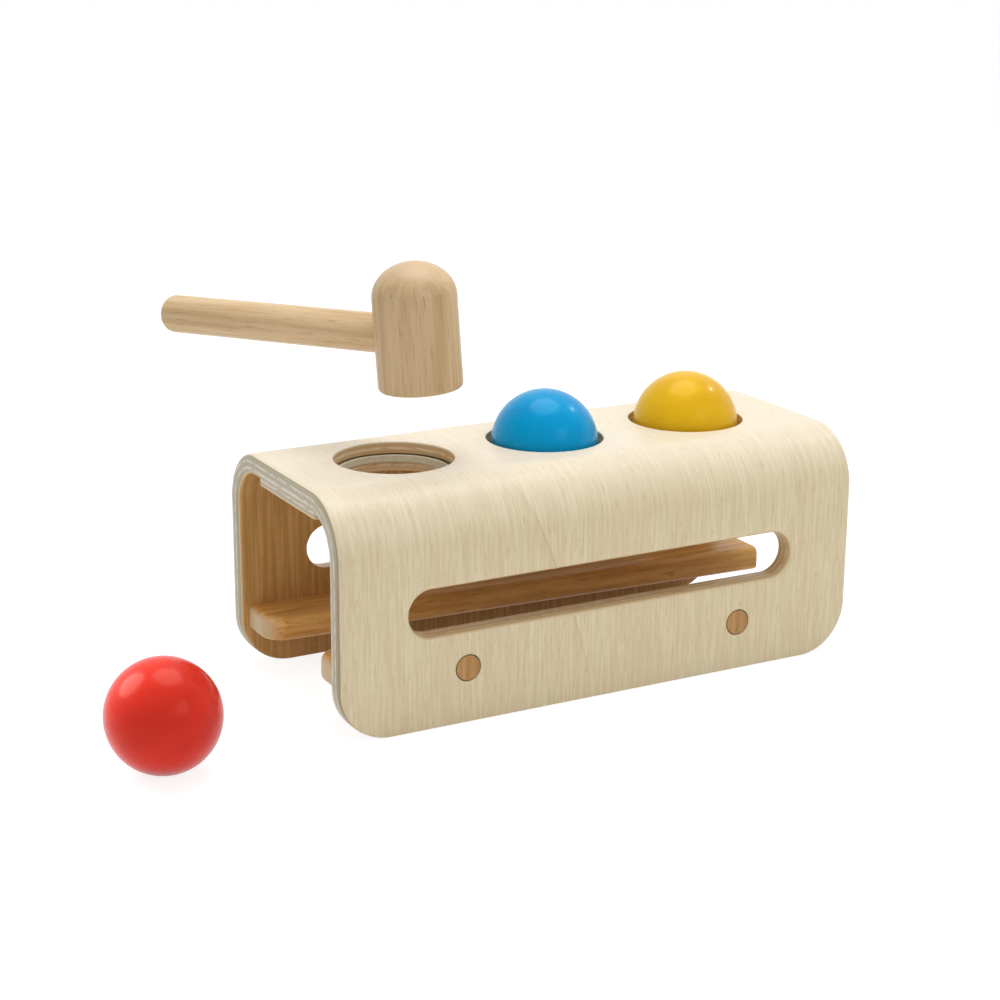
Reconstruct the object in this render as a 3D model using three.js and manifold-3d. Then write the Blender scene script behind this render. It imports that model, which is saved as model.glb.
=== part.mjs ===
// Ball pounding toy in millimetres, +Z up, +X along the arch towards the end that the rails close in on.
// A bent plywood arch has a row of holes, each lined with a rubber ring that grips a wooden ball.
// A struck ball drops onto two level rails, sinks as their gap widens, and rolls out of the left end.
// The origin is on the table, in the middle of the front wall's foot.

import * as THREE from 'three';
import { mergeVertices } from 'three/addons/utils/BufferGeometryUtils.js';
import Module from 'manifold-3d';

const wasm = await Module();
wasm.setup();

// Arch: one sheet of plywood bent over twice
const archLength = 257.4;
const archWidth = 114;
const archHeight = 103.5;
const plyThickness = 9;
const bendRadius = 26;
const footCornerRadius = 24;

// Balls
const ballDiameter = 48;
const redBallFromEnd = 72;
const redBallAside = 46.5;

// Holes in the top, and the rings let into them from below
const holePitch = 75;
const holeClearance = 2.3;
const holeRimRound = 0.5;
const ringSeatDepth = 3.7;
const ringWidth = 4;
const ringGap = 0.2;
const ballAboveRing = 3.1;
const gripGap = 0.25;

// Strip glued under the top, which keeps the rings in
const stripThickness = 4.4;
const stripMargin = 1.5;
const stripEndInset = 3;
const glueGap = 0.1;

// Long slot through both walls
const slotLength = 191.4;
const slotHeight = 20.4;
const slotMiddleHeight = 51.2;

// Rails on the inner faces of the walls
const railThickness = 11.5;
const railTopHeight = 28.5;
const railInsideLeft = 26.5;
const railInsideRight = 13.5;
const frontRailWider = 4;
const railInsetLeft = 4;
const railCornerRadius = 11;
const railEdgeRound = 3;
const railWallGap = 0.1;

// Screws through the walls into the rails, and the wooden plugs that cover them
const plugSpacing = 137;
const leftPlugLift = 1.7;
const rightPlugLift = -0.6;
const plugDiameter = 11.6;
const plugThickness = 4.5;
const plugEdgeRound = 0.6;
const plugSideGap = 0.2;
const screwLength = 22;
const screwDiameter = 4;
const screwHeadDiameter = 8;
const screwHeadHeight = 2.4;
const screwSocketDiameter = 3.2;
const screwSocketDepth = 1.2;
const screwTipLength = 4;
const screwGap = 0.15;

// Mallet, held over the left hole
const headDiameter = 36.8;
const headShoulderDiameter = 36.5;
const headLength = 55;
const headDomeHeight = 15;
const headEdgeRound = 2;
const handleDiameter = 17.3;
const handleLength = 154.2;
const handleHeight = 22.7;
const handleEndRound = 4.6;
const handleSocketDepth = 24;
const handleGap = 0.3;
const malletAboveTop = 30.4;
const malletAlong = 10.6;
const malletAside = -5.3;
const malletYaw = THREE.MathUtils.degToRad(114.3);
const malletPitch = THREE.MathUtils.degToRad(3.3);
const malletRoll = THREE.MathUtils.degToRad(-2);

// How finely round shapes are cut into flats
const bendSteps = 10;
const cornerSteps = 8;
const holeSides = 36;
const ballSides = 24;
const turnedSides = 24;
const smallSides = 16;
const roundSteps = 3;
const cutMargin = 5;

// Sizes that follow from those above
const ballRadius = ballDiameter / 2;
const boreRadius = ballRadius + holeClearance;
const ringSeatRadius = boreRadius + ringWidth;
const topUnderside = archHeight - plyThickness;
const ringTop = topUnderside + ringSeatDepth - ringGap;
const ringBottom = topUnderside + ringGap;
const ballRestHeight = ringTop + ballAboveRing;
const wallInside = archWidth / 2 - plyThickness;
const railMiddleHeight = railTopHeight - railThickness / 2;
const plugBoreRadius = plugDiameter / 2 + plugSideGap;
const plugBoreDepth = plugThickness + plugSideGap;

const birchFace = new THREE.MeshStandardMaterial({ color: 0xe6dcc2, roughness: 0.5, metalness: 0 });
const rubberwood = new THREE.MeshStandardMaterial({ color: 0xc09a68, roughness: 0.5, metalness: 0 });
const plugWood = new THREE.MeshStandardMaterial({ color: 0xab8054, roughness: 0.5, metalness: 0 });
const paleRubber = new THREE.MeshStandardMaterial({ color: 0xa9a08a, roughness: 0.75, metalness: 0 });
const zincSteel = new THREE.MeshStandardMaterial({ color: 0xb4b6b4, roughness: 0.35, metalness: 1 });
const redLacquer = new THREE.MeshStandardMaterial({ color: 0xe03828, roughness: 0.35, metalness: 0 });
const blueLacquer = new THREE.MeshStandardMaterial({ color: 0x1e90c8, roughness: 0.35, metalness: 0 });
const yellowLacquer = new THREE.MeshStandardMaterial({ color: 0xe6b81e, roughness: 0.35, metalness: 0 });

// A closed mesh with only positions, its shared vertices merged
function welded(geometry) {
  const bare = geometry.clone();
  bare.deleteAttribute('normal');
  bare.deleteAttribute('uv');
  return mergeVertices(bare);
}

function solidOf(geometry) {
  const mesh = welded(geometry);
  return new wasm.Manifold(new wasm.Mesh({
    numProp: 3,
    vertProperties: new Float32Array(mesh.attributes.position.array),
    triVerts: new Uint32Array(mesh.index.array),
  }));
}

function geometryOf(solid) {
  const mesh = solid.getMesh();
  const geometry = new THREE.BufferGeometry();
  geometry.setAttribute('position', new THREE.BufferAttribute(mesh.vertProperties, 3));
  geometry.setIndex(new THREE.BufferAttribute(mesh.triVerts, 1));
  geometry.computeVertexNormals();
  return geometry;
}

function addPiece(group, name, geometry, material) {
  const mesh = new THREE.Mesh(geometry, material);
  mesh.name = name;
  group.add(mesh);
  return mesh;
}

// A body turned about +Z, from its outline as [radius, height] pairs that run upwards on the outside
function turned(outline, sides) {
  const points = outline.map(([radius, height]) => new THREE.Vector2(radius, height));
  return new THREE.LatheGeometry(points, sides).rotateX(Math.PI / 2);
}

// Points of a quarter of an ellipse as [radius, height] pairs, from its foot to its crown
function quarterRound(radius, height, fromRadius, fromHeight, steps) {
  const points = [];
  for (let step = 0; step <= steps; step += 1) {
    const angle = (step / steps) * (Math.PI / 2);
    points.push([fromRadius + radius * Math.cos(angle), fromHeight + height * Math.sin(angle)]);
  }
  return points;
}

// A flat outline with each corner rounded, given as { x, y, radius } in order
function roundedOutline(corners) {
  const shape = new THREE.Shape();
  corners.forEach((corner, index) => {
    const before = corners[(index + corners.length - 1) % corners.length];
    const after = corners[(index + 1) % corners.length];
    const here = new THREE.Vector2(corner.x, corner.y);
    const back = new THREE.Vector2(before.x, before.y).sub(here).normalize();
    const ahead = new THREE.Vector2(after.x, after.y).sub(here).normalize();
    const halfAngle = Math.acos(back.dot(ahead)) / 2;
    const reach = corner.radius / Math.tan(halfAngle);
    const start = here.clone().addScaledVector(back, reach);
    const end = here.clone().addScaledVector(ahead, reach);
    const middle = back.clone().add(ahead).normalize();
    const centre = here.clone().addScaledVector(middle, corner.radius / Math.sin(halfAngle));
    const startAngle = Math.atan2(start.y - centre.y, start.x - centre.x);
    const endAngle = Math.atan2(end.y - centre.y, end.x - centre.x);
    const turn = back.x * ahead.y - back.y * ahead.x;
    shape.absarc(centre.x, centre.y, corner.radius, startAngle, endAngle, turn > 0);
  });
  shape.closePath();
  return shape;
}

// Cross-section of the space inside the arch, or of its outside, as an outline in Y and Z
function archOutline(halfWidth, top, radius, bottom) {
  const shape = new THREE.Shape();
  shape.moveTo(halfWidth, bottom);
  shape.lineTo(halfWidth, top - radius);
  shape.absarc(halfWidth - radius, top - radius, radius, 0, Math.PI / 2, false);
  shape.absarc(radius - halfWidth, top - radius, radius, Math.PI / 2, Math.PI, false);
  shape.lineTo(-halfWidth, bottom);
  shape.closePath();
  return shape;
}

// Sweeps an outline in Y and Z along X, centred on X = 0
function sweptAlong(shape, length) {
  const geometry = new THREE.ExtrudeGeometry(shape, {
    depth: length,
    bevelEnabled: false,
    curveSegments: bendSteps,
  });
  const axes = new THREE.Matrix4().makeBasis(
    new THREE.Vector3(0, 1, 0),
    new THREE.Vector3(0, 0, 1),
    new THREE.Vector3(1, 0, 0),
  );
  return geometry.translate(0, 0, -length / 2).applyMatrix4(axes);
}

// Sweeps an outline in X and Z across Y, centred on Y = 0
function sweptAcross(shape, width) {
  const geometry = new THREE.ExtrudeGeometry(shape, {
    depth: width,
    bevelEnabled: false,
    curveSegments: cornerSteps,
  });
  return geometry.translate(0, 0, -width / 2).rotateX(Math.PI / 2);
}

// Side view of the arch, which rounds the corners of both feet
function sideOutline() {
  const end = archLength / 2;
  const top = archHeight + cutMargin;
  const shape = new THREE.Shape();
  shape.moveTo(end, top);
  shape.lineTo(-end, top);
  shape.absarc(footCornerRadius - end, footCornerRadius, footCornerRadius, Math.PI, 1.5 * Math.PI, false);
  shape.absarc(end - footCornerRadius, footCornerRadius, footCornerRadius, 1.5 * Math.PI, 2 * Math.PI, false);
  shape.closePath();
  return shape;
}

function slotOutline() {
  const radius = slotHeight / 2;
  const centre = slotLength / 2 - radius;
  const shape = new THREE.Shape();
  shape.absarc(centre, slotMiddleHeight, radius, -Math.PI / 2, Math.PI / 2, false);
  shape.absarc(-centre, slotMiddleHeight, radius, Math.PI / 2, 1.5 * Math.PI, false);
  shape.closePath();
  return shape;
}

// Stepped cutter for one hole: the ring's seat below, the bore, and the eased rim on top
function holeCutter() {
  return turned([
    [0, topUnderside - cutMargin],
    [ringSeatRadius, topUnderside - cutMargin],
    [ringSeatRadius, topUnderside + ringSeatDepth],
    [boreRadius, topUnderside + ringSeatDepth],
    [boreRadius, archHeight - holeRimRound],
    [boreRadius + holeRimRound, archHeight],
    [boreRadius + holeRimRound, archHeight + cutMargin],
    [0, archHeight + cutMargin],
  ], holeSides);
}

// Where each plug, and the screw under it, sits on its wall. Those of the front wall lie out of level.
const plugPlaces = [];
for (const [side, sideName] of [[-1, 'front'], [1, 'back']]) {
  for (const [end, endName, frontLift] of [[-1, 'left', leftPlugLift], [1, 'right', rightPlugLift]]) {
    const lift = side < 0 ? frontLift : 0;
    plugPlaces.push({
      name: `${sideName}_${endName}`,
      side,
      x: (end * plugSpacing) / 2,
      z: railMiddleHeight + lift,
    });
  }
}

// Turns a body made along +Z so that it enters a wall from outside, with its base on the outer face
function setIntoWall(geometry, place) {
  const inward = new THREE.Matrix4().makeRotationX(place.side * Math.PI / 2);
  const at = new THREE.Matrix4().makeTranslation(place.x, (place.side * archWidth) / 2, place.z);
  return geometry.applyMatrix4(inward).applyMatrix4(at);
}

// Outline of a countersunk screw whose head lies at the bottom of the plug's bore, with room around it
function screwOutline(room) {
  const headStart = plugBoreDepth - room;
  const shankStart = plugBoreDepth + screwHeadHeight;
  const shankRadius = screwDiameter / 2 + room;
  const tipEnd = plugBoreDepth + screwLength + room;
  return [
    [screwHeadDiameter / 2 + room, headStart],
    [shankRadius, shankStart],
    [shankRadius, tipEnd - screwTipLength],
    [0, tipEnd],
  ];
}

// Cutter for a plug's bore and the screw's way through the wall and into the rail
function fasteningCutter(place) {
  const outline = [
    [0, -cutMargin],
    [plugBoreRadius, -cutMargin],
    [plugBoreRadius, plugBoreDepth],
    ...screwOutline(screwGap),
  ];
  return setIntoWall(turned(outline, smallSides), place);
}

function archGeometry() {
  const sweep = archLength + 2 * cutMargin;
  const insideRadius = bendRadius - plyThickness;
  const outside = solidOf(sweptAlong(archOutline(archWidth / 2, archHeight, bendRadius, -cutMargin), sweep));
  const inside = solidOf(
    sweptAlong(archOutline(wallInside, topUnderside, insideRadius, -2 * cutMargin), sweep + 2 * cutMargin),
  );
  const side = solidOf(sweptAcross(sideOutline(), archWidth + 2 * cutMargin));
  const slots = solidOf(sweptAcross(slotOutline(), archWidth + 2 * cutMargin));
  let arch = outside.subtract(inside).intersect(side).subtract(slots);
  for (const index of [-1, 0, 1]) {
    arch = arch.subtract(solidOf(holeCutter().translate(index * holePitch, 0, 0)));
  }
  for (const place of plugPlaces) {
    arch = arch.subtract(solidOf(fasteningCutter(place)));
  }
  return geometryOf(arch);
}

// Rubber ring whose inner face follows the ball that it grips
function ringGeometry() {
  const inner = [];
  for (let step = 0; step <= roundSteps; step += 1) {
    const height = ringTop + (step / roundSteps) * (ringBottom - ringTop);
    const below = ballRestHeight - height;
    inner.push([Math.sqrt(ballRadius ** 2 - below ** 2) + gripGap, height]);
  }
  const outerRadius = ringSeatRadius - ringGap;
  return turned([...inner, [outerRadius, ringBottom], [outerRadius, ringTop], inner[0]], holeSides);
}

// Flat strip under the top with a bore below each ring, trimmed to the inside of the bends
function stripGeometry() {
  const halfLength = archLength / 2 - stripEndInset;
  const halfWidth = ringSeatRadius + stripMargin;
  const outline = new THREE.Shape();
  outline.moveTo(-halfLength, -halfWidth);
  outline.lineTo(halfLength, -halfWidth);
  outline.lineTo(halfLength, halfWidth);
  outline.lineTo(-halfLength, halfWidth);
  outline.closePath();
  for (const index of [-1, 0, 1]) {
    const hole = new THREE.Path();
    hole.absarc(index * holePitch, 0, boreRadius, 0, 2 * Math.PI, true);
    outline.holes.push(hole);
  }
  const top = topUnderside - glueGap;
  const plate = new THREE.ExtrudeGeometry(outline, {
    depth: stripThickness + cutMargin,
    bevelEnabled: false,
    curveSegments: holeSides / 2,
  }).translate(0, 0, top - stripThickness);
  const room = sweptAlong(
    archOutline(wallInside - glueGap, top, bendRadius - plyThickness - glueGap, 0),
    archLength,
  );
  return geometryOf(solidOf(plate).intersect(solidOf(room)));
}

// Rail that follows its two screws, with an inner edge that runs in towards the middle from left to right.
// Its edges are rounded, but it is cut square against the wall and at the right end.
function railGeometry(side) {
  const wall = wallInside - railWallGap;
  const left = railInsetLeft - archLength / 2;
  const right = archLength / 2;
  const insideLeft = railInsideLeft - (side < 0 ? frontRailWider : 0);
  const narrowing = (insideLeft - railInsideRight) / (right - left);
  const [leftSpot, rightSpot] = plugPlaces.filter((spot) => spot.side === side);
  const tilt = Math.atan2(leftSpot.z - rightSpot.z, plugSpacing);
  const beyondRight = right + cutMargin;
  const beyondWall = side * (wall + cutMargin);
  const insideBeyond = railInsideRight - narrowing * cutMargin;
  const outline = roundedOutline([
    { x: left, y: beyondWall, radius: cutMargin },
    { x: beyondRight, y: beyondWall, radius: cutMargin },
    { x: beyondRight, y: side * insideBeyond, radius: cutMargin },
    { x: left, y: side * insideLeft, radius: railCornerRadius },
  ]);
  const blank = new THREE.ExtrudeGeometry(outline, {
    depth: railThickness - 2 * railEdgeRound,
    bevelThickness: railEdgeRound,
    bevelSize: railEdgeRound,
    bevelOffset: -railEdgeRound,
    bevelSegments: roundSteps,
    curveSegments: cornerSteps,
  }).translate(0, 0, railEdgeRound - railThickness / 2);
  blank.rotateY(tilt).translate(0, 0, (leftSpot.z + rightSpot.z) / 2);
  const kept = new THREE.BoxGeometry(archLength, wall, archHeight);
  kept.translate(0, (side * wall) / 2, archHeight / 2);
  let rail = solidOf(blank).intersect(solidOf(kept));
  for (const place of [leftSpot, rightSpot]) {
    rail = rail.subtract(solidOf(fasteningCutter(place)));
  }
  return geometryOf(rail);
}

function plugGeometry(place) {
  const radius = plugDiameter / 2;
  const flat = radius - plugEdgeRound;
  const outline = [
    [0, 0],
    [flat, 0],
    [radius, plugEdgeRound],
    [radius, plugThickness],
    [0, plugThickness],
  ];
  return setIntoWall(turned(outline, smallSides), place);
}

function screwGeometry(place) {
  const socketRadius = screwSocketDiameter / 2;
  const outline = [
    [0, plugBoreDepth + screwSocketDepth],
    [socketRadius, plugBoreDepth + screwSocketDepth],
    [socketRadius, plugBoreDepth],
    ...screwOutline(0),
  ];
  return setIntoWall(turned(outline, smallSides), place);
}

function ballGeometry() {
  return new THREE.SphereGeometry(ballRadius, ballSides, ballSides / 2);
}

// Domed head with a blind socket for the handle in its side, standing on Z = 0
function headGeometry() {
  const radius = headDiameter / 2;
  const shoulder = headLength - headDomeHeight;
  const flatRadius = radius - headEdgeRound;
  const lowerEdge = quarterRound(headEdgeRound, -headEdgeRound, flatRadius, headEdgeRound, roundSteps);
  const dome = quarterRound(headShoulderDiameter / 2, headDomeHeight, 0, shoulder, 2 * roundSteps);
  dome[dome.length - 1][0] = 0;
  const blank = turned([[0, 0], ...lowerEdge.reverse(), ...dome], turnedSides);
  const socketRadius = handleDiameter / 2 + handleGap;
  const socketStart = radius - handleSocketDepth - handleGap;
  const socket = turned([
    [0, socketStart],
    [socketRadius, socketStart],
    [socketRadius, radius + cutMargin],
    [0, radius + cutMargin],
  ], turnedSides).rotateY(Math.PI / 2).translate(0, 0, handleHeight);
  return geometryOf(solidOf(blank).subtract(solidOf(socket)));
}

// Round handle along +X with an eased end, its other end in the head's socket
function handleGeometry() {
  const radius = handleDiameter / 2;
  const start = headDiameter / 2 - handleSocketDepth;
  const end = start + handleLength;
  const flatRadius = radius - handleEndRound;
  const easedEnd = quarterRound(handleEndRound, handleEndRound, flatRadius, end - handleEndRound, roundSteps);
  return turned([[0, start], [radius, start], ...easedEnd, [0, end]], turnedSides)
    .rotateY(Math.PI / 2)
    .translate(0, 0, handleHeight);
}

const toy = new THREE.Group();
toy.position.set(0, archWidth / 2 - plyThickness / 2, 0);

addPiece(toy, 'arch', archGeometry(), birchFace);
addPiece(toy, 'ring_strip', stripGeometry(), birchFace);
for (const [index, endName] of [[-1, 'left'], [0, 'middle'], [1, 'right']]) {
  addPiece(toy, `ring_${endName}`, ringGeometry(), paleRubber).position.setX(index * holePitch);
}
addPiece(toy, 'rail_front', railGeometry(-1), rubberwood);
addPiece(toy, 'rail_back', railGeometry(1), rubberwood);
for (const place of plugPlaces) {
  addPiece(toy, `rail_screw_${place.name}`, screwGeometry(place), zincSteel);
  addPiece(toy, `plug_${place.name}`, plugGeometry(place), plugWood);
}

addPiece(toy, 'ball_blue', ballGeometry(), blueLacquer).position.set(0, 0, ballRestHeight);
addPiece(toy, 'ball_yellow', ballGeometry(), yellowLacquer).position.set(holePitch, 0, ballRestHeight);
const redBall = addPiece(toy, 'ball_red', ballGeometry(), redLacquer);
redBall.position.set(-archLength / 2 - redBallFromEnd, -redBallAside, ballRadius);

const mallet = new THREE.Group();
mallet.rotation.set(malletRoll, malletPitch, malletYaw, 'ZYX');
mallet.position.set(malletAlong - holePitch, malletAside, archHeight + malletAboveTop);
addPiece(mallet, 'mallet_head', headGeometry(), rubberwood);
addPiece(mallet, 'mallet_handle', handleGeometry(), rubberwood);
toy.add(mallet);

export default toy;
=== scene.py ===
"""Ball pounding toy: a bent plywood arch with ring-lined holes, wooden balls, rails and a mallet."""

import math
import bmesh
import bpy
import numpy as np
from mathutils import Euler, Matrix, Vector
from mathutils.geometry import tessellate_polygon


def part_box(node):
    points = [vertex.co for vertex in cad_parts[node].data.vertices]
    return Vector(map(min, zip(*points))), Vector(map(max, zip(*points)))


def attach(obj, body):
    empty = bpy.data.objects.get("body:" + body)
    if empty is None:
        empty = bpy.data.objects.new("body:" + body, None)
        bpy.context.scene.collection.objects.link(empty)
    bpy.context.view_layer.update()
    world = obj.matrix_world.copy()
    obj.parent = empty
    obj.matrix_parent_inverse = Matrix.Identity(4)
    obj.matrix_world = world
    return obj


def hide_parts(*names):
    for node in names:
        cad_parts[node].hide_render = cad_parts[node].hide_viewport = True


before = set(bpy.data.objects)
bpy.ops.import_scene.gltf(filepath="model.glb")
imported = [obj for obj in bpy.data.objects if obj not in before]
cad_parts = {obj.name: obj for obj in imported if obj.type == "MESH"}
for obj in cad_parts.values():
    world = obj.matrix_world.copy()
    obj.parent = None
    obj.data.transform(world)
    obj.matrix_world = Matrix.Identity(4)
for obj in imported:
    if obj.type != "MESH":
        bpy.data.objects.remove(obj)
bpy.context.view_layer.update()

# Places from the frame, in metres
ARCH_LOW, ARCH_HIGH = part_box("arch")
ARCH_LENGTH = ARCH_HIGH.x - ARCH_LOW.x
ARCH_WIDTH = ARCH_HIGH.y - ARCH_LOW.y
ARCH_TOP = ARCH_HIGH.z
MIDDLE_Y = (ARCH_LOW.y + ARCH_HIGH.y) / 2
ENDS = ("left", "right")
HOLES = ("left", "middle", "right")
WALLS = ((-1, "front"), (1, "back"))

# Plywood sheet of the arch, in metres
PLY = 0.009
PLY_LINE = PLY / 6
VENEER = 0.0008
GLUE_LINE = 0.00015
BEND_RADIUS = 0.026
FOOT_CORNER = 0.024
END_ROUND = 0.0028
FOOT_ROUND = 0.0008
SLOT_ROUND = 0.0026
SLOT_INNER_ROUND = 0.0004
RIM_ROUND = 0.0005
SLOT_LENGTH = 0.1914
SLOT_HEIGHT = 0.0204
SLOT_MIDDLE = 0.0512

# Strip under the top
STRIP_EASE = 0.0004
STRIP_SIDE_ROUND = 0.003
STRIP_CORNER = 0.004

# The sheet is laid flat along its middle surface: X along the arch, S around the bends, N through the ply
MID_RADIUS = BEND_RADIUS - PLY / 2
TOP_FLAT = ARCH_WIDTH / 2 - BEND_RADIUS
BEND_LENGTH = MID_RADIUS * math.pi / 2
WALL_START = TOP_FLAT + BEND_LENGTH
WALL_LENGTH = ARCH_TOP - BEND_RADIUS
SHEET_HALF = WALL_START + WALL_LENGTH

# One bowed growth line in the front veneer, as X and S on the flat sheet
GROWTH_FOOT = (-0.008, -0.139)
GROWTH_HEAD = (-0.049, -0.030)
GROWTH_BOW = 1.35
GROWTH_FADE = 0.008
GROWTH_EDGE = 0.0006
GROWTH_STRENGTH = 0.38

# Holes and rings
BORE_RADIUS = 0.0263
RING_SEAT_DEPTH = 0.0037
RING_SEAT_RADIUS = 0.0303
RING_LIP = 0.0006
RING_GROOVE = 0.001
RING_GRIP_GAP = 0.00025

# Rails and plugs. A rail's inside is measured from the middle, at its left end by wall: -1 front, 1 back.
# Its spare is cut off where it meets the wall and at its right end.
RAIL_THICKNESS = 0.0115
RAIL_INSIDE_LEFT = {-1: 0.0225, 1: 0.0265}
RAIL_INSIDE_RIGHT = 0.0135
RAIL_EDGE_ROUND = 0.003
RAIL_CORNER = 0.011
RAIL_SPARE = 0.005
PLUG_BORE_RADIUS = 0.006
PLUG_BORE_DEPTH = 0.0047
PLUG_RIM = 0.0003
PLUG_EASE = 0.0005
PLUG_SHRINK = 0.0002

# Mallet, held over the left hole
HEAD_RADIUS = 0.0184
HEAD_SHOULDER = 0.01825
HEAD_LENGTH = 0.055
HEAD_DOME = 0.015
HEAD_EDGE = 0.002
HANDLE_RADIUS = 0.00865
HANDLE_LENGTH = 0.1542
HANDLE_HEIGHT = 0.0227
HANDLE_END = 0.0046
HANDLE_SOCKET = 0.024
MALLET_LIFT = 0.0304
MALLET_FROM_HOLE = Vector((0.0106, -0.0053, 0.0))
MALLET_TURN = Euler((math.radians(-2), math.radians(3.3), math.radians(114.3)), "XYZ")

# Wood colours: pale and dark streaks, pores and end grain
RAIL_COLOURS = ("#E6B46B", "#CB934E", "#7E5226", "#C4AC86")
HEAD_COLOURS = ("#D4B78E", "#C3A377", "#97744A", "#D4B991")
HANDLE_COLOURS = ("#E0C297", "#CEAD7F", "#A07C50", "#DDBF94")
PLUG_COLOURS = ("#CA9C66", "#B08450", "#7A532B", "#C2955F")

# Balls: colour name, lacquer colours (body, shade, gloss) and the turn of the grain
BALLS = (
    ("blue", ("#0599D1", "#0287C3", "#5CC8EE"), (1.2, 0.4, 0.3)),
    ("yellow", ("#E8B81E", "#D6A020", "#FFE030"), (1.4, -0.5, 0.9)),
    ("red", ("#D63123", "#C0251D", "#FF9C7C"), (0.5, 0.9, 0.2)),
)

# Pattern sizes in metres along a piece's own axes. Pores, bloom and drawn lines are finer on the real
# pieces, and are drawn coarser here so that they show.
VENEER_THREADS = (0.0009, 0.018, 0.01)
VENEER_BANDS = (0.012, 0.12, 0.02)
VENEER_PORES = (0.0004, 0.006, 0.004)
INNER_GRAIN = (0.0012, 0.05, 0.01)
PLY_BLOTCHES = (0.005, 0.005, 0.0012)
PLY_SPECKS = (0.0006, 0.0006, 0.0009)
WOOD_PORE_WIDTH = 0.0006
WOOD_PORE_LENGTH = 0.012
WOOD_STREAK_WIDTH = 0.003
WOOD_STREAK_LENGTH = 0.08
BALL_GRAIN = (0.0009, 0.0009, 0.016)
BALL_CLOUDS = (0.014, 0.014, 0.03)
RUBBER_BLOOM = (0.0016, 0.0016, 0.0016)
STEEL_LINES = (0.0003, 0.004, 0.0003)

# Specular levels: satin lacquer on the woods, and clear lacquer on the stained balls
SATIN_GLOSS = 0.25
BALL_GLOSS = 0.22

# Share of painted sheen on the arch's flat top: a lighter, whiter tone that stands in for the gloss and
# strong light the top catches
TOP_PAINTED_SHEEN = 0.48

# Camera, fitted to the photograph
CAMERA_PLACE = (-0.4701, -0.7572, 0.3507)
CAMERA_AZIMUTH = math.radians(27.575)
CAMERA_ELEVATION = math.radians(16.849)
CAMERA_LENS = 77.84
CAMERA_SHIFT = (0.0492, 0.0138)

# Studio: light levels, where the lamps aim, and lamps as (name, aim, direction, distance, size, power)
AMBIENT = 0.45
FLOOR_REACH = 6.0
FLOOR_BELOW = 0.0002
FLOOR_GLOW = 0.84
AIM_HEIGHT = 0.7 * ARCH_TOP
TOY_MIDDLE = Vector((0, MIDDLE_Y, AIM_HEIGHT))
RED_MIDDLE = sum(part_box("ball_red"), Vector()) / 2
LAMPS = (
    ("overhead_softbox", TOY_MIDDLE, (0.06, 0.12, 0.99), 1.1, 0.9, 8.9),
    ("right_lamp", TOY_MIDDLE, (0.74, 0.08, 0.66), 1.2, 0.04, 1.2),
    ("front_lamp", TOY_MIDDLE, (0.18, -0.86, 0.47), 1.1, 0.5, 1.4),
    ("left_lamp", RED_MIDDLE, (-0.57, 0.45, 0.69), 0.1, 0.07, 0.07),
)

# How finely round shapes are cut, the flat band beside a rounding, and how near two points are one
BEND_STEP = math.radians(3)
FACE_SUPPORT = 0.0006
SAME_PLACE = 1e-7
ROUND_STEPS = 6
TURN_STEPS = 96
PLUG_STEPS = 48
SHAFT_STEPS = 12
DOME_STEPS = 20
ARC_STEP = math.radians(6)
SHARP_ANGLE = math.radians(40)

# Node settings that recur
MIX = {"data_type": "RGBA"}
EASED = {"interpolation_type": "SMOOTHSTEP"}


def linear(colour):
    """Linear RGBA of an sRGB hex colour."""
    channels = [int(colour[i:i + 2], 16) / 255 for i in (1, 3, 5)]
    straight = [c / 12.92 if c <= 0.04045 else ((c + 0.055) / 1.055) ** 2.4 for c in channels]
    return (*straight, 1.0)


def add(tree, kind, inputs=None, out=0, **settings):
    """Adds a node with its settings, sets or links its inputs, and gives one of its outputs."""
    made = tree.nodes.new("ShaderNode" + kind)
    for name, value in settings.items():
        setattr(made, name, value)
    for socket, value in (inputs or {}).items():
        if isinstance(value, bpy.types.NodeSocket):
            tree.links.new(value, made.inputs[socket])
        else:
            made.inputs[socket].default_value = value
    return made.outputs[out]


def new_material(name):
    """A material, its node tree and its shader."""
    material = bpy.data.materials.new(name)
    material.use_nodes = True
    return material, material.node_tree, material.node_tree.nodes["Principled BSDF"]


def dress(tree, shader, colour, height, depth, rough):
    """Links a colour, a roughness range and a relief, in metres, that both follow one height."""
    tree.links.new(colour, shader.inputs["Base Color"])
    spread = {"Value": height, "To Min": rough[0], "To Max": rough[1]}
    tree.links.new(add(tree, "MapRange", spread), shader.inputs["Roughness"])
    relief = add(tree, "Bump", {"Height": height, "Distance": depth}, invert=True)
    tree.links.new(relief, shader.inputs["Normal"])


def streaks(tree, where, sizes, low, high, most=1.0):
    """Share, up to most, of streaks that have the given sizes in metres along the piece's own axes."""
    scaled = add(tree, "VectorMath", {0: where, 1: sizes}, operation="DIVIDE")
    noise = add(tree, "TexNoise", {"Vector": scaled, "Scale": 1.0, "Detail": 2.0})
    share = {"Value": noise, "From Min": low, "From Max": high, "To Max": most}
    return add(tree, "MapRange", share, **EASED)


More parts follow.
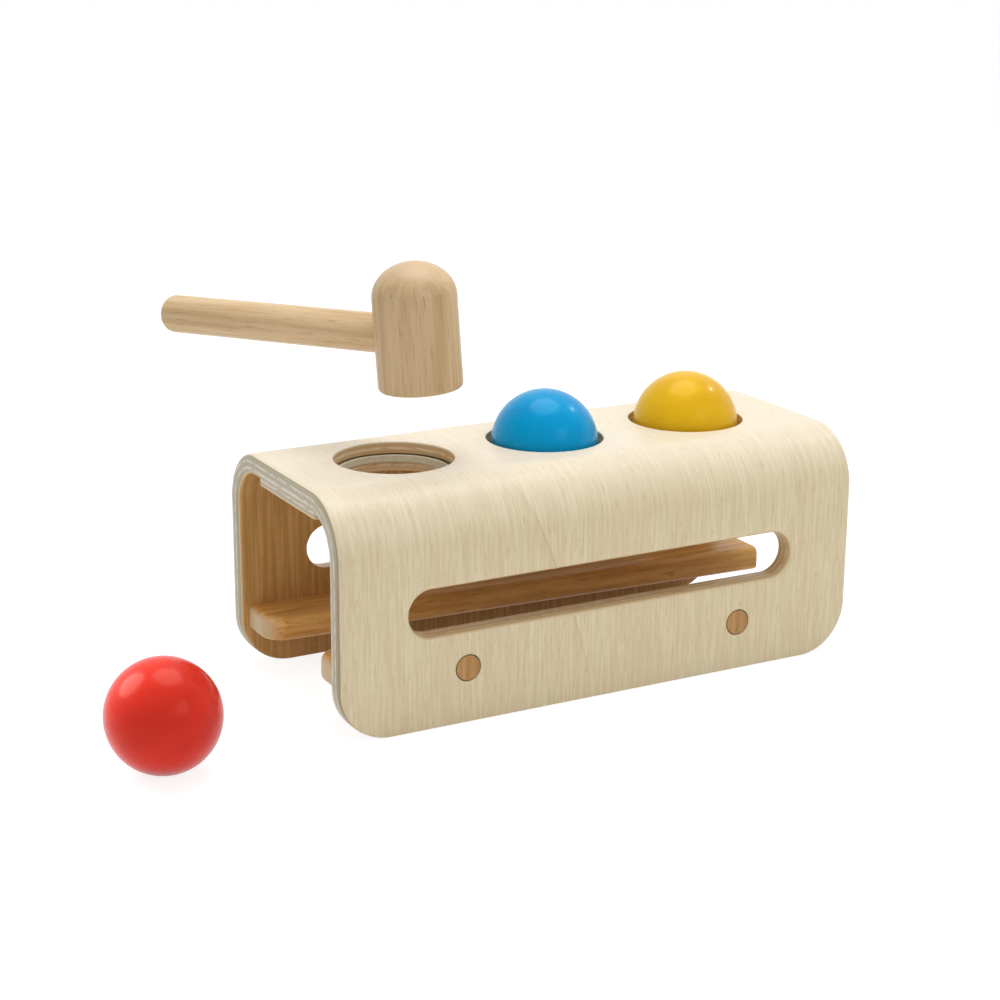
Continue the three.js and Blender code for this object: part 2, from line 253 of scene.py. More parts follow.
def growth_line(tree, along, around, face):
    """Lays the growth line over the veneer: a thin dark edge with a pinkish fade on its left."""
    (foot_x, foot_s), (head_x, head_s) = GROWTH_FOOT, GROWTH_HEAD
    rise = add(tree, "MapRange", {"Value": around, "From Min": foot_s, "From Max": head_s})
    bowed = add(tree, "Math", {0: rise, 1: GROWTH_BOW}, operation="POWER")
    line = add(tree, "Math", {0: bowed, 1: head_x - foot_x, 2: foot_x}, operation="MULTIPLY_ADD")
    past = add(tree, "Math", {0: along, 1: line}, operation="SUBTRACT")
    before = add(tree, "MapRange", {"Value": past, "From Min": GROWTH_EDGE, "From Max": 0.0}, **EASED)
    fade = add(tree, "MapRange", {"Value": past, "From Min": -GROWTH_FADE, "From Max": 0.0}, **EASED)
    edge = add(tree, "MapRange", {"Value": past, "From Min": -2 * GROWTH_EDGE, "From Max": 0.0}, **EASED)
    fall = add(tree, "Math", {0: 1.0, 1: rise}, operation="SUBTRACT")
    midway = add(tree, "Math", {0: rise, 1: fall}, operation="MULTIPLY")
    strongest = 0.5 * 0.5
    spread = {"Value": midway, "From Max": strongest, "To Max": GROWTH_STRENGTH}
    strength = add(tree, "MapRange", spread)
    shown = add(tree, "Math", {0: before, 1: strength}, operation="MULTIPLY")
    pink = add(tree, "Math", {0: fade, 1: shown}, operation="MULTIPLY")
    dark = add(tree, "Math", {0: edge, 1: shown}, operation="MULTIPLY")
    face = add(tree, "Mix", {0: pink, 6: face, 7: linear("#D8BE9C")}, 2, **MIX)
    return add(tree, "Mix", {0: dark, 6: face, 7: linear("#C2A783")}, 2, **MIX)


def outer_veneer(tree, sheet, pores):
    """Colour of the outer face: fine threads, soft bands, one growth line and a painted sheen on the flat
    top.
    """
    along, around, _ = add(tree, "SeparateXYZ", {0: sheet}).node.outputs
    threads = streaks(tree, sheet, VENEER_THREADS, 0.3, 0.7)
    bands = streaks(tree, sheet, VENEER_BANDS, 0.45, 0.75, 0.4)
    face = add(tree, "Mix", {0: threads, 6: linear("#DCCAA5"), 7: linear("#E7D9B8")}, 2, **MIX)
    face = add(tree, "Mix", {0: bands, 6: face, 7: linear("#DEC6A6")}, 2, **MIX)
    face = growth_line(tree, along, around, face)
    # Painted sheen: the flat top is mixed towards a whiter tone, which fades out over the bends
    aside = add(tree, "Math", {0: around}, operation="ABSOLUTE")
    on_top = {"Value": aside, "From Min": WALL_START, "From Max": TOP_FLAT, "To Max": TOP_PAINTED_SHEEN}
    painted_sheen = add(tree, "MapRange", on_top, **EASED)
    face = add(tree, "Mix", {0: painted_sheen, 6: face, 7: linear("#EEE6D8")}, 2, **MIX)
    return add(tree, "Mix", {0: pores, 6: face, 7: linear("#B09A74")}, 2, **MIX)


def inner_veneer(tree, sheet, pores):
    """Colour of the inner face: browner, which is painted warm shade of the arch's inside, with a longer
    grain.
    """
    grain = streaks(tree, sheet, INNER_GRAIN, 0.35, 0.7)
    # Browner than the outer face: painted warm shade inside the arch
    face = add(tree, "Mix", {0: grain, 6: linear("#BA8F51"), 7: linear("#D0A76B")}, 2, **MIX)
    return add(tree, "Mix", {0: pores, 6: face, 7: linear("#8A5F30")}, 2, **MIX)


def ply_edge(tree, sheet, depth, across, inner_side):
    """Colour of a cut edge: light and dark plies with blotches and specks, and a glue line under each
    veneer. Router-cut edges get a warmer, lighter colour, which is painted bounce light, and a pale glue
    line, a painted highlight."""
    # Painted light: router-cut edges of holes, slots and bores get a warmer, lighter colour than the ends
    routed_painted_light = add(tree, "Attribute", out="Fac", attribute_name="routed_painted_light")
    wave = add(tree, "Math", {0: depth, 1: PLY_LINE}, operation="PINGPONG")
    crest = {"Value": wave, "From Min": 0.45 * PLY_LINE, "From Max": 0.8 * PLY_LINE}
    on_crest = add(tree, "MapRange", crest, **EASED)
    blotches = streaks(tree, sheet, PLY_BLOTCHES, 0.3, 0.6)
    light_ply = add(tree, "Math", {0: on_crest, 1: blotches}, operation="MULTIPLY")
    end_edge = add(tree, "Mix", {0: light_ply, 6: linear("#ABA38D"), 7: linear("#D0CAB8")}, 2, **MIX)
    # Warmer, lighter edge colour for router-cut edges: painted bounce light
    painted_light_cut_edge = add(tree, "Mix", {0: light_ply, 6: linear("#D3B384"), 7: linear("#EDD9B6")}, 2, **MIX)
    edge = add(tree, "Mix", {0: routed_painted_light, 6: end_edge, 7: painted_light_cut_edge}, 2, **MIX)
    specks = streaks(tree, sheet, PLY_SPECKS, 0.5, 0.8, 0.3)
    edge = add(tree, "Mix", {0: specks, 6: edge, 7: linear("#8E7A5A")}, 2, **MIX)
    glue = add(tree, "Math", {0: across, 1: PLY / 2 - VENEER, 2: GLUE_LINE}, operation="COMPARE")
    # On router-cut edges the glue line is painted pale: a painted highlight along the rim
    line = add(tree, "Mix", {0: routed_painted_light, 6: linear("#9A8B6C"), 7: linear("#D6C4A0")}, 2, **MIX)
    line = add(tree, "Mix", {0: inner_side, 6: line, 7: linear("#DCC6A0")}, 2, **MIX)
    return add(tree, "Mix", {0: glue, 6: edge, 7: line}, 2, **MIX)


def birch_plywood():
    """Birch plywood, sanded and sealed: pale satin veneer with faint streaks and short pores that run
    around the bends, a browner inside, and lines of plies wherever the sheet is cut."""
    material, tree, shader = new_material("birch_plywood_satin_lacquer")
    sheet = add(tree, "Attribute", out="Vector", attribute_name="sheet")
    depth = add(tree, "SeparateXYZ", {0: sheet}, "Z")
    across = add(tree, "Math", {0: depth}, operation="ABSOLUTE")
    pores = streaks(tree, sheet, VENEER_PORES, 0.6, 0.74, 0.5)
    turned_in = {"Value": depth, "From Min": -0.2 * PLY, "From Max": -0.3 * PLY}
    inner_side = add(tree, "MapRange", turned_in, **EASED)
    faces = {0: inner_side, 6: outer_veneer(tree, sheet, pores), 7: inner_veneer(tree, sheet, pores)}
    face = add(tree, "Mix", faces, 2, **MIX)
    edge = ply_edge(tree, sheet, depth, across, inner_side)
    in_plies = {"Value": across, "From Min": PLY / 2 - 0.5 * VENEER, "From Max": PLY / 2 - VENEER}
    cut = add(tree, "MapRange", in_plies, **EASED)
    colour = add(tree, "Mix", {0: cut, 6: face, 7: edge}, 2, **MIX)
    dress(tree, shader, colour, pores, depth=0.00004, rough=(0.32, 0.5))
    shader.inputs["Specular IOR Level"].default_value = SATIN_GLOSS
    return material


def lacquered_wood(name, colours, along):
    """Planed or turned hardwood under satin lacquer: long soft streaks and fine dark pores along the
    grain, which runs along axis 0, 1 or 2, and a plainer end grain."""
    material, tree, shader = new_material(name)
    pale, dark, pore, end_grain = [linear(colour) for colour in colours]
    where = add(tree, "TexCoord", out="Object")
    fine = [WOOD_PORE_WIDTH] * 3
    wide = [WOOD_STREAK_WIDTH] * 3
    axis = [0.0] * 3
    fine[along] = WOOD_PORE_LENGTH
    wide[along] = WOOD_STREAK_LENGTH
    axis[along] = 1.0
    normal = where.node.outputs["Normal"]
    facing = add(tree, "VectorMath", {0: normal, 1: axis}, "Value", operation="DOT_PRODUCT")
    squarely = add(tree, "Math", {0: facing}, operation="ABSOLUTE")
    ends = add(tree, "MapRange", {"Value": squarely, "From Min": 0.3, "From Max": 1.0}, **EASED)
    pores = add(tree, "Mix", {0: ends, 2: streaks(tree, where, fine, 0.56, 0.74, 0.5), 3: 0.1})
    tones = streaks(tree, where, wide, 0.3, 0.7)
    colour = add(tree, "Mix", {0: tones, 6: dark, 7: pale}, 2, **MIX)
    colour = add(tree, "Mix", {0: ends, 6: colour, 7: end_grain}, 2, **MIX)
    colour = add(tree, "Mix", {0: pores, 6: colour, 7: pore}, 2, **MIX)
    dress(tree, shader, colour, pores, depth=0.00005, rough=(0.36, 0.55))
    shader.inputs["Specular IOR Level"].default_value = SATIN_GLOSS
    return material


def ball_lacquer(name, body, shade, gloss):
    """Turned wood, stained and dipped in clear lacquer: deep colour, faint grain, soft tinted gloss."""
    material, tree, shader = new_material(name)
    where = add(tree, "Attribute", out="Vector", attribute_name="grain")
    grain = streaks(tree, where, BALL_GRAIN, 0.45, 0.75, 0.35)
    clouds = streaks(tree, where, BALL_CLOUDS, 0.4, 0.75, 0.6)
    colour = add(tree, "Mix", {0: clouds, 6: linear(body), 7: linear(shade)}, 2, **MIX)
    colour = add(tree, "Mix", {0: grain, 6: colour, 7: linear(shade)}, 2, **MIX)
    dress(tree, shader, colour, grain, depth=0.00002, rough=(0.26, 0.32))
    shader.inputs["Specular IOR Level"].default_value = BALL_GLOSS
    shader.inputs["Specular Tint"].default_value = linear(gloss)
    shader.inputs["Coat Weight"].default_value = 0.08
    shader.inputs["Coat Roughness"].default_value = 0.05
    return material


def ring_rubber():
    """Moulded natural rubber: matt grey-beige with a dusty bloom."""
    material, tree, shader = new_material("moulded_natural_rubber")
    where = add(tree, "TexCoord", out="Object")
    bloom = streaks(tree, where, RUBBER_BLOOM, 0.35, 0.7)
    colour = add(tree, "Mix", {0: bloom, 6: linear("#C6BDA2"), 7: linear("#D1C8AE")}, 2, **MIX)
    dress(tree, shader, colour, bloom, depth=0.00002, rough=(0.6, 0.8))
    return material


def zinc_steel():
    """Zinc-plated screw steel: bright grey with a fine drawn grain."""
    material, tree, shader = new_material("zinc_plated_steel")
    where = add(tree, "TexCoord", out="Object")
    drawn = streaks(tree, where, STEEL_LINES, 0.3, 0.7)
    colour = add(tree, "Mix", {0: drawn, 6: linear("#A8AAA8"), 7: linear("#C6C8C6")}, 2, **MIX)
    dress(tree, shader, colour, drawn, depth=0.00001, rough=(0.25, 0.45))
    shader.inputs["Metallic"].default_value = 1.0
    return material


def arc(centre, radius, start, end):
    """Points of an arc, from start to end angle, both included."""
    count = max(2, math.ceil(abs(end - start) / ARC_STEP) + 1)
    angles = np.linspace(start, end, count)
    return np.column_stack((centre[0] + radius * np.cos(angles), centre[1] + radius * np.sin(angles)))


def circle(centre, radius, steps=TURN_STEPS):
    """A hole's loop, which runs clockwise so that the wood lies on its left."""
    angles = -2 * math.pi * np.arange(steps) / steps
    return np.column_stack((centre[0] + radius * np.cos(angles), centre[1] + radius * np.sin(angles)))


def rounded_corners(corners):
    """Loop through corners (x, y, radius), given anticlockwise, with each corner rounded."""
    points = []
    count = len(corners)
    for index, (x, y, radius) in enumerate(corners):
        here = Vector((x, y))
        back = (Vector(corners[index - 1][:2]) - here).normalized()
        ahead = (Vector(corners[(index + 1) % count][:2]) - here).normalized()
        half = back.angle(ahead) / 2
        centre = here + (back + ahead).normalized() * radius / math.sin(half)
        first = here + back * radius / math.tan(half) - centre
        start = math.atan2(first.y, first.x)
        points.append(arc(centre, radius, start, start + math.pi - 2 * half))
    return np.concatenate(points)


def edge_section(thickness, outer, inner):
    """Rounded edge from outer to inner face as (cut back, height) rings; a radius may vary by point."""
    half = thickness / 2
    angles = np.linspace(0, math.pi / 2, ROUND_STEPS + 1)
    upper = [(outer * (1 - math.sin(a)), half - outer * (1 - math.cos(a))) for a in angles]
    lower = [(inner * (1 - math.sin(a)), inner * (1 - math.cos(a)) - half) for a in angles[::-1]]
    return [(outer + FACE_SUPPORT, half), *upper, *lower, (inner + FACE_SUPPORT, -half)]


def cut_back(points, distance):
    """A loop moved into the wood, which lies on its left."""
    along = np.roll(points, -1, axis=0) - np.roll(points, 1, axis=0)
    along /= np.linalg.norm(along, axis=1)[:, None]
    return points + np.reshape(distance, (-1, 1)) * np.column_stack((-along[:, 1], along[:, 0]))


def board(loops):
    """Board with rounded edges from (points, section, painted light share, blind) loops, the outer one
    first.
    """
    made = bmesh.new()
    # Share of painted light at each point, 1 on router-cut edges
    routed_painted_light_layer = made.verts.layers.float.new("routed_painted_light")
    faces = {"outer": [], "inner": []}
    for points, section, routed_painted_light, blind in loops:
        rings = []
        count = len(points)
        for distance, height in section:
            places = zip(cut_back(points, distance), np.broadcast_to(height, count))
            ring = [made.verts.new((x, y, z)) for (x, y), z in places]
            for vertex in ring:
                vertex[routed_painted_light_layer] = routed_painted_light
            rings.append(ring)
        for upper, lower in zip(rings, rings[1:]):
            for i in range(count):
                j = (i + 1) % count
                made.faces.new((upper[i], lower[i], lower[j], upper[j]))
        faces["outer"].append(rings[0])
        if blind:
            made.faces.new(rings[-1])
        else:
            faces["inner"].append(rings[-1])
    for rings in faces.values():
        flat = [vertex for ring in rings for vertex in ring]
        for triangle in tessellate_polygon([[vertex.co for vertex in ring] for ring in rings]):
            made.faces.new([flat[i] for i in triangle])
    bmesh.ops.recalc_face_normals(made, faces=made.faces)
    return made


def turned(outline, steps=TURN_STEPS):
    """Body turned about Z from (radius, height) pairs, with a fan where the outline meets the axis."""
    made = bmesh.new()
    angles = [2 * math.pi * i / steps for i in range(steps)]
    rings = []
    for radius, height in outline:
        around = angles if radius > 0 else angles[:1]
        rings.append([made.verts.new((radius * math.cos(a), radius * math.sin(a), height)) for a in around])
    for lower, upper in zip(rings, rings[1:]):
        for i in range(steps):
            j = (i + 1) % steps
            corners = [(lower, i), (lower, j), (upper, j), (upper, i)]
            made.faces.new(list(dict.fromkeys(ring[k % len(ring)] for ring, k in corners)))
    bmesh.ops.recalc_face_normals(made, faces=made.faces)
    return made


def quarter(radius, height, from_radius, from_height, steps=ROUND_STEPS):
    """Quarter of an ellipse from its foot to its crown, as (radius, height) pairs."""
    angles = np.linspace(0, math.pi / 2, steps + 1)
    return [(from_radius + radius * math.cos(a), from_height + height * math.sin(a)) for a in angles]


def place_piece(made, name, material, node, body, pose=Matrix()):
    """Makes a piece from a bmesh, puts it in its place, and lets it stand for its CAD node."""
    mesh = bpy.data.meshes.new(name)
    made.to_mesh(mesh)
    made.free()
    mesh.shade_smooth()
    mesh.set_sharp_from_angle(angle=SHARP_ANGLE)
    mesh.materials.append(material)
    piece = bpy.data.objects.new(name, mesh)
    bpy.context.scene.collection.objects.link(piece)
    piece.matrix_world = pose
    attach(piece, body)
    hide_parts(node)


def centre_of(node):
    """Middle of a CAD node's box at rest."""
    low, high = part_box(node)
    return (low + high) / 2


def bent(x, s, n):
    """Place of a point of the flat sheet once the sheet is bent over the arch."""
    side = math.copysign(1, s)
    far = abs(s)
    if far <= TOP_FLAT:
        return x, MIDDLE_Y + s, ARCH_TOP - PLY / 2 + n
    if far >= WALL_START:
        return x, MIDDLE_Y + side * (ARCH_WIDTH / 2 - PLY / 2 + n), WALL_LENGTH - (far - WALL_START)
    turn = (far - TOP_FLAT) / MID_RADIUS
    across = TOP_FLAT + (MID_RADIUS + n) * math.sin(turn)
    return x, MIDDLE_Y + side * across, ARCH_TOP - BEND_RADIUS + (MID_RADIUS + n) * math.cos(turn)


def wall_s(side, height):
    """Where a height on the front (-1) or back (1) wall lies on the flat sheet."""
    return side * (WALL_START + WALL_LENGTH - height)


def sheet_outline():
    """Outline of the flat sheet, whose edges are well rounded at the ends and hardly at the feet."""
    half = ARCH_LENGTH / 2
    corners = [(half, SHEET_HALF), (-half, SHEET_HALF), (-half, -SHEET_HALF), (half, -SHEET_HALF)]
    points = rounded_corners([(x, s, FOOT_CORNER) for x, s in corners])
    into_foot = np.clip((np.abs(points[:, 1]) - SHEET_HALF + FOOT_CORNER) / FOOT_CORNER, 0, 1)
    rounding = END_ROUND + (FOOT_ROUND - END_ROUND) * into_foot
    return points, edge_section(PLY, rounding, rounding), 0.0, False


def slot_loop(side):
    """Long slot with round ends in the front (-1) or back (1) wall, routed round on the outside."""
    end = SLOT_LENGTH / 2 - SLOT_HEIGHT / 2
    s = wall_s(side, SLOT_MIDDLE)
    right = arc((end, s), SLOT_HEIGHT / 2, math.pi / 2, -math.pi / 2)
    left = arc((-end, s), SLOT_HEIGHT / 2, -math.pi / 2, -1.5 * math.pi)
    return np.concatenate((right, left)), edge_section(PLY, SLOT_ROUND, SLOT_INNER_ROUND), 1.0, False


def hole_loop(node):
    """Bore with an eased rim, and the wider seat of its ring below."""
    seat_top = RING_SEAT_DEPTH - PLY / 2
    seat_cut = RING_SEAT_RADIUS - BORE_RADIUS
    rim = edge_section(PLY, RIM_ROUND, RIM_ROUND)[:ROUND_STEPS + 2]
    seat = [(0, seat_top), (seat_cut, seat_top), (seat_cut, -PLY / 2), (seat_cut + FACE_SUPPORT, -PLY / 2)]
    return circle((centre_of(node).x, 0), BORE_RADIUS), [*rim, *seat], 1.0, False


def plug_bore_loop(side, node):
    """Blind bore with a narrow chamfer for one plug."""
    rim = [(PLUG_RIM + FACE_SUPPORT, PLY / 2), (PLUG_RIM, PLY / 2), (0, PLY / 2 - PLUG_RIM)]
    bottom = (0, PLY / 2 - PLUG_BORE_DEPTH)
    middle = centre_of(node)
    points = circle((middle.x, wall_s(side, middle.z)), PLUG_BORE_RADIUS, PLUG_STEPS)
    return points, [*rim, bottom], 1.0, True


def arch(material):
    """Arch, cut out as a flat sheet and then bent over twice; each point keeps its place on the sheet."""
    loops = [sheet_outline()]
    loops += [slot_loop(side) for side, _ in WALLS]
    loops += [hole_loop("ring_" + hole) for hole in HOLES]
    loops += [plug_bore_loop(side, f"plug_{wall}_{end}") for side, wall in WALLS for end in ENDS]
    made = board(loops)
    steps = math.ceil(math.pi / 2 / BEND_STEP)
    lines = [TOP_FLAT + BEND_LENGTH * i / steps for i in range(steps + 1)]
    lines += [TOP_FLAT - FACE_SUPPORT, WALL_START + FACE_SUPPORT]
    for line in [*lines, *(-line for line in lines)]:
        everything = [*made.verts, *made.edges, *made.faces]
        bmesh.ops.bisect_plane(
            made, geom=everything, plane_co=(0, line, 0), plane_no=(0, 1, 0), dist=SAME_PLACE
        )
    sheet_layer = made.verts.layers.float_vector.new("sheet")
    for vertex in made.verts:
        vertex[sheet_layer] = vertex.co
        vertex.co = bent(*vertex.co)
    place_piece(made, "arch_plywood", material, "arch", "base")


def strip(material):
    """Strip under the top, with a bore under each ring and rounded lower side edges."""
    low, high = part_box("ring_strip")
    middle = (low + high) / 2
    half_x, half_y, half_z = (high - low) / 2
    corners = [(half_x, half_y), (-half_x, half_y), (-half_x, -half_y), (half_x, -half_y)]
    points = rounded_corners([(x, y, STRIP_CORNER) for x, y in corners])
    into_side = np.clip((np.abs(points[:, 1]) - half_y + STRIP_CORNER) / STRIP_CORNER, 0, 1)
    under = STRIP_EASE + (STRIP_SIDE_ROUND - STRIP_EASE) * into_side
    loops = [(points, edge_section(2 * half_z, STRIP_EASE, under), 0.0, False)]
    bore = edge_section(2 * half_z, STRIP_EASE, STRIP_EASE)
    for hole in HOLES:
        x = centre_of("ring_" + hole).x - middle.x
        loops.append((circle((x, 0), BORE_RADIUS), bore, 1.0, False))
    made = board(loops)
    sheet_layer = made.verts.layers.float_vector.new("sheet")
    for vertex in made.verts:
        vertex[sheet_layer] = vertex.co - Vector((0, 0, half_z))
    pose = Matrix.Translation(middle)
    place_piece(made, "ring_strip_plywood", material, "ring_strip", "base", pose)


def rail(wall, side, material):
    """Rail that follows its plugs, with rounded edges, cut square against its wall and at its right end."""
    node = "rail_" + wall
    low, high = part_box(node)
    left_plug, right_plug = [centre_of(f"plug_{wall}_{end}") for end in ENDS]
    middle = (left_plug + right_plug) / 2
    middle.y = (low.y + high.y) / 2
    tilt = math.atan2(left_plug.z - right_plug.z, right_plug.x - left_plug.x)
    left = low.x - middle.x
    right = high.x - middle.x
    at_wall = (low.y if side < 0 else high.y) - middle.y
    inner_left = MIDDLE_Y + side * RAIL_INSIDE_LEFT[side] - middle.y
    inner_right = MIDDLE_Y + side * RAIL_INSIDE_RIGHT - middle.y
    beyond_right = inner_right + (inner_right - inner_left) * RAIL_SPARE / (right - left)
    corners = [
        (left, at_wall + side * RAIL_SPARE, RAIL_SPARE),
        (right + RAIL_SPARE, at_wall + side * RAIL_SPARE, RAIL_SPARE),
        (right + RAIL_SPARE, beyond_right, RAIL_SPARE),
        (left, inner_left, RAIL_CORNER),
    ]
    if side > 0:
        corners.reverse()
    section = edge_section(RAIL_THICKNESS, RAIL_EDGE_ROUND, RAIL_EDGE_ROUND)
    made = board([(rounded_corners(corners), section, 0.0, False)])
    bmesh.ops.transform(made, matrix=Matrix.Rotation(tilt, 4, "Y"), verts=made.verts)
    for place, outwards in (((0, at_wall, 0), (0, side, 0)), ((right, 0, 0), (1, 0, 0))):
        everything = [*made.verts, *made.edges, *made.faces]
        cut = bmesh.ops.bisect_plane(
            made, geom=everything, plane_co=place, plane_no=outwards, dist=SAME_PLACE, clear_outer=True
        )
        rim = [part for part in cut["geom_cut"] if isinstance(part, bmesh.types.BMEdge)]
        bmesh.ops.edgeloop_fill(made, edges=rim)
    bmesh.ops.recalc_face_normals(made, faces=made.faces)
    place_piece(made, node + "_wood", material, node, "base", Matrix.Translation(middle))


def ball(colour, material, grain_turn):
    """Ball turned about the grain of its wood, which then lies at its own angle."""
    node = "ball_" + colour
    low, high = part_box(node)
    radius = (high.z - low.z) / 2
    angles = np.linspace(-math.pi / 2, math.pi / 2, TURN_STEPS // 2 + 1)[1:-1]
    sides = [(radius * math.cos(a), radius * math.sin(a)) for a in angles]
    made = turned([(0, -radius), *sides, (0, radius)])
    grain_layer = made.verts.layers.float_vector.new("grain")
    for vertex in made.verts:
        vertex[grain_layer] = vertex.co
    bmesh.ops.rotate(made, matrix=Euler(grain_turn).to_matrix(), verts=made.verts)
    pose = Matrix.Translation((low + high) / 2)
    place_piece(made, node + "_turned", material, node, colour + "_ball", pose)


def ring(node, material):
    """Ring whose inner face follows the ball that it grips, with a small rounded lip above and below.
    Behind the upper lip it lies lower, which leaves a dark line under the plywood."""
    low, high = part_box(node)
    middle = (low + high) / 2
    outer = (high.x - low.x) / 2
    half = (high.z - low.z) / 2
    ball_low, ball_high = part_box("ball_blue")
    ball_radius = (ball_high.z - ball_low.z) / 2
    ball_height = (ball_high.z + ball_low.z) / 2 - middle.z
    inner = []
    for height in np.linspace(half - RING_LIP, RING_LIP - half, ROUND_STEPS):
        inner.append((math.sqrt(ball_radius ** 2 - (ball_height - height) ** 2) + RING_GRIP_GAP, height))
    lip = quarter(-RING_LIP, RING_LIP, RING_LIP, 0)
    upper = [(inner[0][0] + r, half - RING_LIP + h) for r, h in reversed(lip[1:])]
    lower = [(inner[-1][0] + r, RING_LIP - half - h) for r, h in lip[1:]]
    back = half - RING_GROOVE
    rear = [(outer, -half), (outer, back), (upper[0][0] + RING_GROOVE, back)]
    made = turned([*upper, *inner, *lower, *rear, upper[0]])
    bmesh.ops.remove_doubles(made, verts=made.verts, dist=SAME_PLACE)
    place_piece(made, node + "_rubber", material, node, "base", Matrix.Translation(middle))


def plug(node, side, material):
    """Plug set a hair smaller than its bore, which leaves a thin dark line around it."""
    low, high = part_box(node)
    radius = (high.x - low.x) / 2 - PLUG_SHRINK
    thickness = high.y - low.y
    eased = quarter(PLUG_EASE, PLUG_EASE, radius - PLUG_EASE, thickness - PLUG_EASE)
    made = turned([(0, 0), (radius, 0), *eased, (0, thickness)], PLUG_STEPS)
    foot = Vector(((low.x + high.x) / 2, high.y if side < 0 else low.y, (low.z + high.z) / 2))
    pose = Matrix.Translation(foot) @ Matrix.Rotation(-side * math.pi / 2, 4, "X")
    place_piece(made, node + "_wood", material, node, "base", pose)


def mallet_head(material, pose):
    """Head turned about Z, slightly narrower towards its domed crown."""
    edge = quarter(HEAD_EDGE, -HEAD_EDGE, HEAD_RADIUS - HEAD_EDGE, HEAD_EDGE)
    shoulder = HEAD_LENGTH - HEAD_DOME
    dome = quarter(HEAD_SHOULDER, HEAD_DOME, 0, shoulder, DOME_STEPS)
    made = turned([(0, 0), *reversed(edge), *dome[:-1], (0, HEAD_LENGTH)])
    place_piece(made, "mallet_head_wood", material, "mallet_head", "mallet", pose)


def mallet_handle(material, pose):
    """Round handle along X with an eased end, which starts inside the head."""
    start = HEAD_RADIUS - HANDLE_SOCKET
    end = start + HANDLE_LENGTH
    shaft = [(HANDLE_RADIUS, height) for height in np.linspace(start, end - HANDLE_END, SHAFT_STEPS)]
    eased = quarter(HANDLE_END, HANDLE_END, HANDLE_RADIUS - HANDLE_END, end - HANDLE_END, DOME_STEPS)
    made = turned([(0, start), *shaft, *eased[1:], (0, end)])
    bmesh.ops.rotate(made, verts=made.verts, matrix=Matrix.Rotation(math.pi / 2, 3, "Y"))
    bmesh.ops.translate(made, verts=made.verts, vec=(0, 0, HANDLE_HEIGHT))
    place_piece(made, "mallet_handle_wood", material, "mallet_handle", "mallet", pose)


def camera(scene):
    """Camera at the photograph's viewing angle."""
    taken = bpy.data.objects.new("camera", bpy.data.cameras.new("camera"))
    scene.collection.objects.link(taken)
    taken.location = CAMERA_PLACE
    taken.rotation_euler = (math.pi / 2 - CAMERA_ELEVATION, 0, -CAMERA_AZIMUTH)
    taken.data.lens = CAMERA_LENS
    taken.data.shift_x, taken.data.shift_y = CAMERA_SHIFT
    scene.camera = taken


def sight(tree):
    """1 for a ray that looks at the background, straight, in a gloss or through something clear."""
    path = add(tree, "LightPath").node.outputs
    direct = {0: path["Is Camera Ray"], 1: path["Is Glossy Ray"]}
    seen = add(tree, "Math", direct, operation="MAXIMUM")
    return add(tree, "Math", {0: seen, 1: path["Is Transmission Ray"]}, operation="MAXIMUM")


def floor(scene):
    """White paper that is seen near white with a faint shadow, also in glosses."""
    mesh = bpy.data.meshes.new("floor")
    corners = [(-1, -1), (1, -1), (1, 1), (-1, 1)]
    mesh.from_pydata([(x * FLOOR_REACH, y * FLOOR_REACH, 0) for x, y in corners], [], [(0, 1, 2, 3)])
    paper = bpy.data.objects.new("floor", mesh)
    paper.location.z = -FLOOR_BELOW
    scene.collection.objects.link(paper)
    material, tree, shader = new_material("white_paper")
    shader.inputs["Base Color"].default_value = linear("#F4F4F2")
    shader.inputs["Roughness"].default_value = 0.9
    glow = add(tree, "Emission", {"Strength": FLOOR_GLOW})
    matt = add(tree, "BsdfDiffuse", {"Color": linear("#A0A0A0")})
    seen = add(tree, "AddShader", {0: glow, 1: matt})
    surface = add(tree, "MixShader", {0: sight(tree), 1: shader.outputs[0], 2: seen})
    tree.links.new(surface, tree.nodes["Material Output"].inputs["Surface"])
    mesh.materials.append(material)


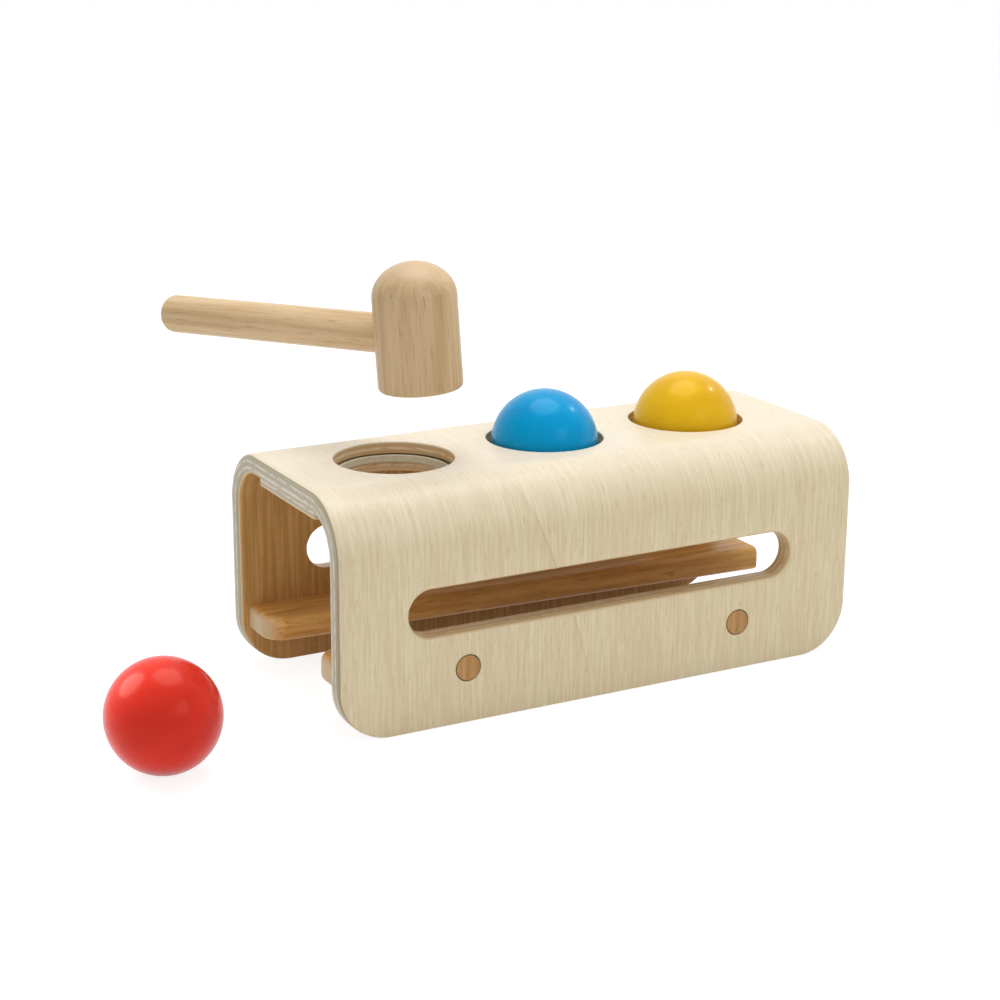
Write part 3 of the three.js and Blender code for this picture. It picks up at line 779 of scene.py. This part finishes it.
def surroundings(scene):
    """Even light around the toy, in front of a background that is seen white."""
    world = bpy.data.worlds.new("studio")
    scene.world = world
    world.use_nodes = True
    tree = world.node_tree
    strength = add(tree, "MapRange", {"Value": sight(tree), "To Min": AMBIENT, "To Max": 1.0})
    background = tree.nodes["Background"]
    background.inputs["Color"].default_value = (1, 1, 1, 1)
    tree.links.new(strength, background.inputs["Strength"])


def lamps(scene):
    """Round soft lamps that face what they aim at."""
    for name, aim, direction, distance, size, power in LAMPS:
        data = bpy.data.lights.new(name, "AREA")
        data.shape = "DISK"
        data.size = size
        data.energy = power
        lamp = bpy.data.objects.new(name, data)
        lamp.location = aim + Vector(direction).normalized() * distance
        lamp.rotation_euler = (aim - lamp.location).to_track_quat("-Z", "Y").to_euler()
        scene.collection.objects.link(lamp)


plywood = birch_plywood()
rail_wood = lacquered_wood("planed_rubberwood_rails", RAIL_COLOURS, along=0)
head_wood = lacquered_wood("turned_rubberwood_head", HEAD_COLOURS, along=2)
handle_wood = lacquered_wood("turned_rubberwood_handle", HANDLE_COLOURS, along=0)
plug_wood = lacquered_wood("turned_hardwood_plugs", PLUG_COLOURS, along=1)
rubber = ring_rubber()
steel = zinc_steel()

arch(plywood)
strip(plywood)
for hole in HOLES:
    ring("ring_" + hole, rubber)
for side, wall in WALLS:
    rail(wall, side, rail_wood)
    for end in ENDS:
        plug(f"plug_{wall}_{end}", side, plug_wood)
        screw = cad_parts[f"rail_screw_{wall}_{end}"]
        screw.data.materials.clear()
        screw.data.materials.append(steel)
for colour, lacquer_colours, grain_turn in BALLS:
    lacquer = ball_lacquer(colour + "_stained_lacquer", *lacquer_colours)
    ball(colour, lacquer, grain_turn)
mallet_place = centre_of("ring_left") + MALLET_FROM_HOLE
mallet_place.z = ARCH_TOP + MALLET_LIFT
mallet_pose = Matrix.Translation(mallet_place) @ MALLET_TURN.to_matrix().to_4x4()
mallet_head(head_wood, mallet_pose)
mallet_handle(handle_wood, mallet_pose)
camera(bpy.context.scene)
floor(bpy.context.scene)
surroundings(bpy.context.scene)
lamps(bpy.context.scene)
bpy.context.scene.view_settings.view_transform = "Standard"
